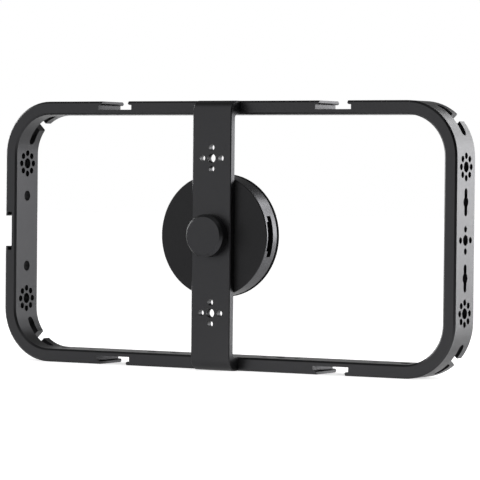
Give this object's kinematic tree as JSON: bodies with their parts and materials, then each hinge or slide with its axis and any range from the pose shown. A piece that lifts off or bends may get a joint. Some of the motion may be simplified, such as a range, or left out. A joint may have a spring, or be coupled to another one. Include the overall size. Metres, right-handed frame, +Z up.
{
  "type": "phone cage",
  "caption": "Rounded-rectangle metal cage for a phone, with accessory shoes, threaded holes and strap slots, and a swivelling magnetic mount clamped by a knob to a bracket at the back.",
  "frame": {"origin": "middle of the bottom bar's underside, half way through the ring's depth", "axes": "+X across to the wall with the middle thread, +Y from the knob to the phone's side, +Z up"},
  "size_m": [0.25, 0.0347, 0.1285],
  "materials": {
    "anodised_black": "black anodised over a fine bead blast, satin",
    "black_steel": "black oxide",
    "plain_steel": "turned",
    "nickel_plate": "nickel plated",
    "nut_brass": "turned",
    "black_plastic": "fine moulded texture",
    "soft_rubber": "matte silicone",
    "nylon": "natural nylon"
  },
  "bodies": {
    "cage": {"cage_frame": "anodised_black", "centre_bracket": "anodised_black", "bracket_screws": "black_steel"},
    "slip_washer": {"knob_washer": "nylon"},
    "knob": {"knob_cap": "anodised_black", "knob_stud": "plain_steel", "stud_clip": "plain_steel"},
    "mount": {"friction_washer": "soft_rubber", "mount_base": "anodised_black", "hub_nut": "nut_brass", "hub_screws": "plain_steel", "yoke_ring": "plain_steel", "ring_magnets": "nickel_plate", "magnet_tray": "black_plastic", "front_cover": "black_plastic", "cover_screws": "plain_steel", "grip_pad": "soft_rubber"}
  },
  "joints": [
    {"name": "knob_travel", "type": "slide", "parent": "cage", "child": "slip_washer", "axis": [0, -1, 0], "range_m": [0, 0.00255]},
    {"name": "knob_turn", "type": "hinge", "parent": "slip_washer", "child": "knob", "pos_m": [-0.0008, 0, 0.06425], "axis": [0, -1, 0], "range_deg": [0, 720]},
    {"name": "mount_swivel", "type": "hinge", "parent": "cage", "child": "mount", "pos_m": [-0.0008, 0, 0.06425], "axis": [0, 1, 0], "continuous": true}
  ],
  "couplings": [
    {"joint": "knob_travel", "follows": "knob_turn", "m_per_rad": 0.00020213}
  ]
}
